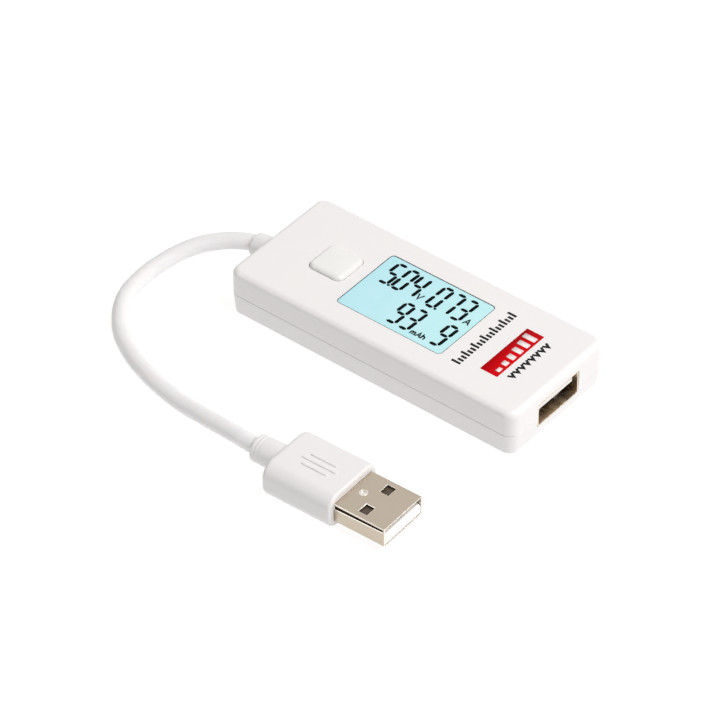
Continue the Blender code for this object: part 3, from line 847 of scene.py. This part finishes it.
def segment_ends():
    """Where each segment's middle line starts and ends, in a digit's own frame."""
    right, middle, top = DIGIT_WIDTH, DIGIT_HEIGHT / 2, DIGIT_HEIGHT
    return {
        "a": ((0, top), (right, top)),
        "b": ((right, top), (right, middle)),
        "c": ((right, middle), (right, 0)),
        "d": ((0, 0), (right, 0)),
        "e": ((0, middle), (0, 0)),
        "f": ((0, top), (0, middle)),
        "g": ((0, middle), (right, middle)),
    }


def add_segment(solid, origin, start, end):
    """A bar with pointed ends, drawn upright and then leant over with its digit."""
    start, end = Vector(start), Vector(end)
    along = (end - start).normalized()
    stroke = LEVEL_STROKE if along.x > along.y else UPRIGHT_STROKE
    across = Vector((-along.y, along.x)) * stroke / 2
    first = start + along * SEGMENT_GAP
    last = end - along * SEGMENT_GAP
    point = along * stroke / 2
    outline = (
        first,
        first + point - across,
        last - point - across,
        last,
        last - point + across,
        first + point + across,
    )
    left, base = origin
    leaning = [(left + spot.x + spot.y * DIGIT_SLANT, base + spot.y) for spot in outline]
    prism(leaning, *LCD_INK, solid=solid)


def make_digits():
    solid = bmesh.new()
    ends = segment_ends()
    for text, (left, base), has_point in READOUTS:
        for number, digit in enumerate(text):
            origin = (left + number * DIGIT_PITCH, base)
            for segment in SEGMENTS[digit]:
                add_segment(solid, origin, *ends[segment])
        if has_point:
            centre = (left + DIGIT_WIDTH + POINT_OFFSET, base)
            dot = rounded_outline(POINT_SIZE, POINT_SIZE, POINT_RADIUS, 3)
            prism(dot, *LCD_INK, centre, solid)
    mark("display_digits", solid, "lcd_black")


def make_unit_letters():
    solid = bmesh.new()
    for letter, (left, base), (width, height) in UNIT_LETTERS:
        for stroke in LETTER_STROKES[letter]:
            points = [
                (left + x * width + y * height * DIGIT_SLANT, base + y * height) for x, y in stroke
            ]
            ribbon(solid, points, UNIT_STROKE, *LCD_INK)
    mark("display_units", solid, "lcd_black")


# Printed marks


def make_badge():
    """A red field, with a row of rising white bars printed over it."""
    field = rounded_outline(*BADGE_SIZE, BADGE_RADIUS, 3)
    mark("cover_badge", prism(field, *PRINT_INK, BADGE_CENTRE), "print_red")
    over_ink = (PRINT_INK[1], HOUSING_TOP + 2 * INK_THICKNESS)
    solid = bmesh.new()
    for number in range(LEVEL_BARS):
        share = number / (LEVEL_BARS - 1)
        height = LEVEL_HEIGHTS[0] + (LEVEL_HEIGHTS[1] - LEVEL_HEIGHTS[0]) * share
        side = BADGE_CENTRE[1] + (number - (LEVEL_BARS - 1) / 2) * LEVEL_PITCH
        level = rounded_outline(height, LEVEL_WIDTH, BADGE_RADIUS, 3)
        centre = (LEVEL_BASE - height / 2, side)
        prism(level, *over_ink, centre, solid)
    mark("badge_level_bars", solid, "print_white")


def make_printed_scale():
    solid = bmesh.new()
    for number in range(SCALE_TICKS):
        major = number % SCALE_MAJOR == 0
        height = SCALE_HEIGHTS[1] if major else SCALE_HEIGHTS[0]
        tick = rounded_outline(height, SCALE_TICK_WIDTH, SCALE_TICK_RADIUS, 2)
        centre = (SCALE_FOOT - height / 2, SCALE_START + number * SCALE_PITCH)
        prism(tick, *PRINT_INK, centre, solid)
    mark("printed_scale", solid, "print_black")


def make_printed_chevrons():
    solid = bmesh.new()
    depth, width = CHEVRON_SIZE
    for number in range(CHEVRON_COUNT):
        side = CHEVRON_START + number * CHEVRON_PITCH
        points = (
            (CHEVRON_BACK, side - width / 2),
            (CHEVRON_BACK + depth, side),
            (CHEVRON_BACK, side + width / 2),
        )
        ribbon(solid, points, CHEVRON_STROKE, *PRINT_INK)
    mark("printed_chevrons", solid, "print_black")


# Key


def key_ring(size, radius, height):
    return level_ring(rounded_outline(size, size, radius), height, KEY_CENTRE)


def make_key():
    """A pillow-topped key: hollow under, flanged, its edge rounded and its top a shallow crown."""
    flange = KEY_HIGH.x - KEY_LOW.x
    rings = [
        key_ring(KEY_HOLLOW, KEY_HOLLOW_RADIUS, KEY_HOLLOW_TOP),
        key_ring(KEY_HOLLOW, KEY_HOLLOW_RADIUS, KEY_LOW.z),
        key_ring(flange, KEY_FLANGE_RADIUS, KEY_LOW.z),
        key_ring(flange, KEY_FLANGE_RADIUS, KEY_FLANGE_TOP),
        key_ring(KEY_SIZE, KEY_RADIUS, KEY_FLANGE_TOP),
    ]
    rim_height = KEY_HIGH.z - KEY_CROWN
    for inset, rise in reversed(quarter_round(KEY_TOP_RADIUS)):
        size = KEY_SIZE - 2 * inset
        rings.append(key_ring(size, KEY_RADIUS - inset, rim_height - rise))
    flat = KEY_SIZE - 2 * KEY_TOP_RADIUS
    for step in range(1, KEY_CROWN_STEPS):
        share = step / KEY_CROWN_STEPS
        size = flat * (1 - share)
        radius = (KEY_RADIUS - KEY_TOP_RADIUS) * (1 - share) + size / 2 * share * 0.5
        height = rim_height + KEY_CROWN * (1 - (1 - share) ** 2)
        rings.append(key_ring(size, min(radius, size / 2 * 0.98), height))
    key = make_piece("key_cap", loft(rings), MATERIALS["white_key"])
    key.data.set_sharp_from_angle(angle=EDGE_ANGLE)
    place_on(key, ["button_cap"], body="button")


# Socket


def make_socket_liner():
    outside, inside = SOCKET_RADII
    inner_size = (SOCKET_SIZE.y - 2 * SHEET_METAL, SOCKET_SIZE.z - 2 * SHEET_METAL)
    outer = rounded_outline(SOCKET_SIZE.y, SOCKET_SIZE.z, outside, 6)
    inner = rounded_outline(*inner_size, inside, 6)
    back, front = SOCKET_LOW.x, SOCKET_FRONT
    places = ((outer, back), (outer, front), (inner, front), (inner, back + SHEET_METAL))
    shell = loft([upright_ring(outline, x, SOCKET_CENTRE.z) for outline, x in places])
    liner = make_piece("socket_liner", shell, MATERIALS["socket_nickel"])
    back, front, width = SPRING_WINDOW
    for side in SPRING_PLACES:
        low = (back, side - width / 2, SOCKET_LOW.z - CUT_REACH)
        high = (front, side + width / 2, SOCKET_LOW.z + CUT_REACH)
        combine(liner, block(low, high))
    # The bevels take the bright edge metal, a painted highlight
    soften(liner, 0.07, 2, MATERIALS["burnished_highlight_edge"])
    place_on(liner, ["socket_shell"])


def make_socket_springs():
    """Two fingers that the plug's shell presses down, bent up from the socket's lower plate."""
    solid = bmesh.new()
    back, front, width = SPRING_WINDOW
    plate = SOCKET_LOW.z + SHEET_METAL / 2
    path = [(back + along, plate + rise) for along, rise in SPRING_BENDS]
    path.append((front - SPRING_TIP[0], plate + SPRING_TIP[1]))
    for side in SPRING_PLACES:
        strip(solid, path, side, width - 2 * SPRING_SIDE_GAP, SPRING_THICKNESS)
    soft_piece("socket_springs", solid, "socket_nickel", 0.05)


def make_socket_tongue():
    half = (TONGUE_HIGH.y - TONGUE_LOW.y) / 2
    top = TONGUE_HIGH.z
    under = top - TONGUE_THICKNESS
    front = TONGUE_HIGH.x
    side_view = (
        (TONGUE_LOW.x, TONGUE_LOW.z),
        (TONGUE_BASE_FRONT, TONGUE_LOW.z),
        (TONGUE_BASE_FRONT, under),
        (front - TONGUE_LEAD_IN, under),
        (front, under + TONGUE_LEAD_IN),
        (front, top - TONGUE_LEAD_IN),
        (front - TONGUE_LEAD_IN, top),
        (TONGUE_LOW.x, top),
    )
    name, replaced = "socket_tongue_moulding", ["socket_tongue"]
    solid = side_prism(side_view, -half, half)
    soft_piece(name, solid, "insulator_white", 0.12, replaced, segments=3)
    return under


def make_socket_contacts(under):
    """Four gilt strips under the tongue, each with a bump near its end."""
    resting = under - CONTACT_THICKNESS / 2 - CONTACT_CLEARANCE
    for number in range(1, 5):
        node = "socket_contact_%d" % number
        low, high = box_mm(node)
        bump = high.x - CONTACT_BUMP_BACK
        path = [(low.x, resting)]
        path += [(bump + along, resting - drop) for along, drop in CONTACT_BUMP]
        path.append((high.x, resting))
        middle = (low.y + high.y) / 2
        solid = strip(bmesh.new(), path, middle, CONTACT_WIDTH, CONTACT_THICKNESS * 0.8)
        soft_piece("socket_spring_contact_%d" % number, solid, "gilt_contact", 0.05, [node])


# Lead


def make_cable():
    points = smooth_route(CABLE_ROUTE, CABLE_STEPS)
    curve = bpy.data.curves.new("lead", "CURVE")
    curve.dimensions = "3D"
    curve.bevel_depth = CABLE_DIAMETER / 2 * MM
    curve.bevel_resolution = CABLE_SIDES_SETTING
    curve.use_fill_caps = True
    spline = curve.splines.new("POLY")
    spline.points.add(len(points) - 1)
    for spline_point, point in zip(spline.points, points):
        spline_point.co = (*(point * MM), 1.0)
    spline.use_smooth = True
    curve.materials.append(MATERIALS["lead_white"])
    lead = place_on(add_object("lead", curve), ["cable"])
    length = sum((b - a).length for a, b in zip(points, points[1:])) * MM
    return lead, length


def make_gland():
    """The lead's strain relief: flange, neck, tapered nub and the lead's hole."""
    end = -HALF_LENGTH - GLAND_LENGTH
    root = -HALF_LENGTH - 0.05
    flange_start, flange_end = GLAND_FLANGE
    profile = [
        (flange_start, GLAND_FLANGE_RADIUS),
        (flange_end, GLAND_FLANGE_RADIUS),
        (flange_end, GLAND_NECK_RADIUS),
        (root, GLAND_NECK_RADIUS),
        (root, GLAND_ROOT_RADIUS),
    ]
    for inset, rise in reversed(quarter_round(GLAND_END_EDGE, 6)):
        profile.append((end + rise, GLAND_END_RADIUS - inset))
    profile.append((end, LEAD_HOLE_RADIUS + 0.05))
    profile.append((end + 0.05, LEAD_HOLE_RADIUS))
    profile.append((end + 1.6, LEAD_HOLE_RADIUS))
    rings = [upright_ring(circle(radius, GLAND_SIDES), x, SEAM_HEIGHT) for x, radius in profile]
    solid, finish = loft(rings), "soft_white"
    return soft_piece("lead_gland", solid, finish, 0.06, ["strain_relief"])


# Plug


def overmould_ring(station, width, thickness, radius):
    radius = min(radius, 0.498 * min(width, thickness))
    return upright_ring(rounded_outline(width, thickness, radius), station)


def collar_ring(station, radius):
    return overmould_ring(station, 2 * radius, 2 * radius, radius)


def collar_rings():
    """The collar with its ring grooves, from the lead's hole out to the shoulder."""
    end = -MOULD_LENGTH - COLLAR_LENGTH
    narrow, wide = COLLAR_RADII

    def radius_at(station):
        share = (station - end) / COLLAR_LENGTH
        return narrow + (wide - narrow) * share

    hole = LEAD_HOLE_RADIUS
    profile = [(end + 1.4, hole), (end + 0.1, hole), (end, hole + 0.12)]
    profile += [(end + rise, narrow - inset) for inset, rise in quarter_round(COLLAR_EDGE, 5)]
    for place in COLLAR_GROOVES:
        for step in range(COLLAR_GROOVE_STEPS + 1):
            share = step / COLLAR_GROOVE_STEPS
            station = end + place + (share - 0.5) * COLLAR_GROOVE_WIDTH
            depth = COLLAR_GROOVE_DEPTH * math.sin(math.pi * share)
            profile.append((station, radius_at(station) - depth))
    root_length, root_inset = COLLAR_ROOT
    root = -MOULD_LENGTH - root_length
    profile.append((root, radius_at(root)))
    profile.append((-MOULD_LENGTH, radius_at(-MOULD_LENGTH) - root_inset))
    return [collar_ring(station, radius) for station, radius in profile]


def make_plug_moulding():
    """The collar and the overmould in one, with a pocket for the metal shell."""
    rings = collar_rings()
    width, thickness = MOULD_SIZE
    for step in range(MOULD_SHOULDER_STEPS + 1):
        turn = math.pi / 2 * step / MOULD_SHOULDER_STEPS
        inset = 1 - math.sin(turn)
        station = -MOULD_LENGTH + MOULD_SHOULDER * (1 - math.cos(turn))
        across = width - 2 * MOULD_SHOULDER * inset
        upright = thickness - 2 * MOULD_BACK_INSET * inset
        rings.append(overmould_ring(station, across, upright, MOULD_RADIUS))
    for inset, rise in reversed(quarter_round(MOULD_FRONT_EDGE, 6)):
        size = (width - 2 * inset, thickness - 2 * inset)
        rings.append(overmould_ring(-rise, *size, MOULD_RADIUS - inset))
    gap = PLUG_POCKET_GAP
    pocket = (PLUG_SHELL_SIZE[0] + 2 * gap, PLUG_SHELL_SIZE[1] + 2 * gap, PLUG_SHELL_RADIUS + gap)
    rings.append(overmould_ring(0.0, *pocket))
    rings.append(overmould_ring(PLUG_SHELL_BACK - 0.3, *pocket))
    moulding = make_piece("plug_moulding", loft(rings), MATERIALS["soft_white"], PLUG_FRAME)
    moulding.data.set_sharp_from_angle(angle=EDGE_ANGLE)
    even_shading(moulding)
    return place_on(moulding, ["plug_overmould"])


def make_plug_ribs():
    """Three raised grip bars on top of the moulding."""
    solid = bmesh.new()
    top = MOULD_SIZE[1] / 2
    for number, length in enumerate(RIB_LENGTHS):
        side = RIB_CENTRE[1] + (number - (len(RIB_LENGTHS) - 1) / 2) * RIB_PITCH
        crest_width = RIB_WIDTH - 2 * RIB_SLOPE
        foot = rounded_outline(length, RIB_WIDTH, RIB_WIDTH * 0.49, 6)
        crest = rounded_outline(length - 2 * RIB_SLOPE, crest_width, crest_width * 0.49, 6)
        places = ((foot, top - RIB_ROOT), (foot, top), (crest, top + RIB_RISE))
        centre = (RIB_CENTRE[0], side)
        loft([level_ring(outline, height, centre) for outline, height in places], solid)
    return soft_piece("plug_grip_ribs", solid, "soft_white", 0.05, place=PLUG_FRAME)


def fold_wedge(low, high):
    """The slit under the folded top sheet, taller towards the moulding."""
    start, end = PLUG_FOLD
    deep, shallow = PLUG_FOLD_HEIGHTS
    top = PLUG_FOLD_TOP
    side_view = ((start, top), (end, top), (end, top - shallow), (start, top - deep))
    return side_prism(side_view, low, high)


def paint_plug_highlights(metal):
    """Give the folded sheet's cut edge and the dimple the bright edge metal: a painted highlight,
    partly the brighter finish of worked metal.
    """
    to_plug = PLUG_FRAME.inverted()
    edge = -PLUG_SHELL_SIZE[0] / 2 + 0.2
    rim = PLUG_SHELL_SIZE[1] / 2 - 0.01
    for face in metal.data.polygons:
        centre = to_plug @ (face.center / MM)
        on_edge = centre.y < edge and centre.z > PLUG_FOLD_TOP
        near = (centre.xy - Vector(DIMPLE_PLACE)).length < DIMPLE_RADIUS
        if on_edge or (near and rim - DIMPLE_DEPTH < centre.z < rim):
            face.material_index = 1


def make_plug_metal():
    """Folded sheet shell: two latch windows in each face, a slit along one edge, and a dimple."""
    width, thickness = PLUG_SHELL_SIZE
    folded = (PLUG_SHELL_RADIUS, PLUG_FOLD_EDGE_RADIUS, PLUG_SHELL_RADIUS, PLUG_SHELL_RADIUS)
    outer = rounded_outline(width, thickness, folded, 8)
    inside = [max(radius - SHEET_METAL, 0.1) for radius in folded]
    inner = rounded_outline(width - 2 * SHEET_METAL, thickness - 2 * SHEET_METAL, inside, 8)
    back, tip = PLUG_SHELL_BACK, PLUG_SHELL_TIP
    places = ((outer, back), (outer, tip), (inner, tip), (inner, back + SHEET_METAL))
    shell = loft([upright_ring(outline, x) for outline, x in places])
    metal = make_piece("plug_metal", shell, MATERIALS["rolled_nickel"], PLUG_FRAME)
    top = thickness / 2
    window_x, window_y = PLUG_WINDOW_PLACE
    half_x, half_y = PLUG_WINDOW_SIZE[0] / 2, PLUG_WINDOW_SIZE[1] / 2
    for side in (-window_y, window_y):
        for face in (top, -top):
            low = (window_x - half_x, side - half_y, face - CUT_REACH)
            high = (window_x + half_x, side + half_y, face + CUT_REACH)
            combine(metal, block(low, high), PLUG_FRAME)
    wedge = fold_wedge(-width / 2 - CUT_REACH, -width / 2 + 0.5)
    combine(metal, wedge, PLUG_FRAME)
    ball = bmesh.new()
    bmesh.ops.create_uvsphere(ball, u_segments=32, v_segments=20, radius=DIMPLE_RADIUS)
    ball_centre = Vector((*DIMPLE_PLACE, top + DIMPLE_RADIUS - DIMPLE_DEPTH))
    bmesh.ops.translate(ball, vec=ball_centre, verts=ball.verts)
    combine(metal, ball, PLUG_FRAME)
    # The bevels take the bright edge metal, a painted highlight
    soften(metal, 0.13, 3, MATERIALS["burnished_highlight_edge"])
    paint_plug_highlights(metal)
    return place_on(metal, ["plug_shell"])


def make_window_shade_plates():
    """Dark plates close under the latch windows: a dark sheet that paints the shade seen through
    the windows.
    """
    solid = bmesh.new()
    high = PLUG_SHELL_SIZE[1] / 2 - SHEET_METAL - WINDOW_SHADE_DROP
    length, width = (size + 2 * WINDOW_SHADE_LAP for size in PLUG_WINDOW_SIZE)
    for side in (-PLUG_WINDOW_PLACE[1], PLUG_WINDOW_PLACE[1]):
        outline = rounded_outline(length, width, 0.2, 3)
        prism(outline, high - WINDOW_SHADE_THICKNESS, high, (PLUG_WINDOW_PLACE[0], side), solid)
    return soft_piece("plug_window_painted_shade", solid, "window_painted_shade", 0.04, place=PLUG_FRAME)


def make_slit_shadow():
    """A dark strip behind the slit: painted shadow, seen as a dark line through the slit."""
    start, end = PLUG_FOLD
    wall = -PLUG_SHELL_SIZE[0] / 2 + SHEET_METAL
    low = (start, wall + 0.04, PLUG_FOLD_TOP - PLUG_FOLD_HEIGHTS[0] - 0.15)
    solid = block(low, (end - 0.1, wall + 0.24, PLUG_FOLD_TOP))
    return soft_piece("plug_slit_painted_shadow", solid, "slit_painted_shadow", 0.04, place=PLUG_FRAME)


def make_plug_insulator():
    low = -PLUG_SHELL_SIZE[1] / 2 + SHEET_METAL + 0.01
    half = PLUG_SHELL_SIZE[0] / 2 - SHEET_METAL - 0.05
    back = PLUG_SHELL_BACK + SHEET_METAL + 0.3
    front = PLUG_SHELL_TIP - 0.12
    side_view = (
        (back, low),
        (front - PLUG_CORE_EDGE, low),
        (front, low + PLUG_CORE_EDGE),
        (front, PLUG_CORE_TOP - PLUG_CORE_SLOPE),
        (front - PLUG_CORE_SLOPE, PLUG_CORE_TOP),
        (back, PLUG_CORE_TOP),
    )
    name, replaced = "plug_insulator_moulding", ["plug_insulator"]
    solid = side_prism(side_view, -half, half)
    return soft_piece(name, solid, "plug_core_white", 0.12, replaced, PLUG_FRAME, 3)


# Carried-over CAD pieces


CARRIED = {
    "rear_glass": ["lcd_rear_glass"],
    "light_guide": ["backlight_guide"],
    "zebra_strip": ["lcd_contact_strip"],
    "board_green": ["circuit_board"],
    "chip_black": [
        "measuring_chip", "regulator_chip", "shunt_resistor", "switch_base", "switch_plunger"
    ],
    "crystal_can": ["timing_crystal", "switch_frame"],
    "capacitor_tan": ["capacitor_1", "capacitor_2", "capacitor_3"],
    "wire_red": ["wire_power"],
    "wire_white": ["wire_data_minus"],
    "wire_green": ["wire_data_plus"],
    "wire_black": ["wire_ground"],
    "gilt_contact": PLUG_CONTACTS,
}


def finish_carried():
    """Give the CAD's own hidden pieces, which no drawn piece replaces, their finish."""
    for material, nodes in CARRIED.items():
        for node in nodes:
            for material_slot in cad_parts[node].material_slots:
                material_slot.material = MATERIALS[material]


# Camera, lights and floor


def make_camera():
    data = bpy.data.cameras.new("camera")
    data.lens = CAMERA_LENS
    data.sensor_width = SENSOR_WIDTH
    data.clip_start, data.clip_end = CLIP_RANGE_M
    camera = add_object("camera", data)
    level = math.cos(CAMERA_ELEVATION)
    right, ahead = math.sin(CAMERA_AZIMUTH) * level, math.cos(CAMERA_AZIMUTH) * level
    back = Vector((right, -ahead, math.sin(CAMERA_ELEVATION)))
    camera.location = (Vector(CAMERA_AIM) + back * CAMERA_DISTANCE) * MM
    camera.rotation_mode = "QUATERNION"
    camera.rotation_quaternion = (-back).to_track_quat("-Z", "Y")
    bpy.context.scene.camera = camera


def make_lamp(name, place_m, size_m, power, gloss_only):
    """A square lamp that faces the origin."""
    data = bpy.data.lights.new(name, "AREA")
    data.energy = power
    data.shape = "SQUARE"
    data.size = size_m
    data.color = LAMP_COLOUR
    light = add_object(name, data)
    light.location = place_m
    light.rotation_mode = "QUATERNION"
    light.rotation_quaternion = Vector(place_m).to_track_quat("Z", "Y")
    light.visible_camera = False
    light.visible_diffuse = not gloss_only


def make_world():
    world = bpy.data.worlds.new("studio")
    world.use_nodes = True
    background = world.node_tree.nodes["Background"]
    set_inputs(background, {"Color": (*WORLD_COLOUR, 1.0), "Strength": WORLD_STRENGTH})
    bpy.context.scene.world = world


def make_floor():
    """A pale floor that glows a little, so that it looks as white as the photo's."""
    solid = bmesh.new()
    half = FLOOR_HALF
    corners = ((-half, -half), (half, -half), (half, half), (-half, half))
    solid.faces.new([solid.verts.new((x, y, -FLOOR_DROP)) for x, y in corners])
    material, _, shader = new_material("pale_floor")
    grey = (FLOOR_GREY, FLOOR_GREY, FLOOR_GREY, 1.0)
    set_inputs(shader, {"Base Color": grey, "Roughness": 1.0, "Specular IOR Level": 0.0})
    glow = {"Emission Color": (*FLOOR_GLOW_COLOUR, 1.0), "Emission Strength": FLOOR_GLOW}
    set_inputs(shader, glow)
    make_piece("floor", solid, material)


def light_studio():
    make_world()
    make_floor()
    for lamp in LAMPS:
        make_lamp(*lamp)
    bpy.context.scene.view_settings.view_transform = "Standard"


# Assembly


def main():
    make_camera()
    lead, lead_length = make_cable()
    gland = make_gland()
    make_upper_shell()
    make_lower_shell()
    make_gasket()
    make_display_window()
    make_digits()
    make_unit_letters()
    make_badge()
    make_printed_scale()
    make_printed_chevrons()
    make_key()
    make_socket_liner()
    make_socket_springs()
    make_socket_contacts(make_socket_tongue())
    plug_pieces = [
        make_plug_moulding(),
        make_plug_ribs(),
        make_plug_metal(),
        make_window_shade_plates(),
        make_slit_shadow(),
        make_plug_insulator(),
    ]
    finish_carried()
    light_studio()


main()
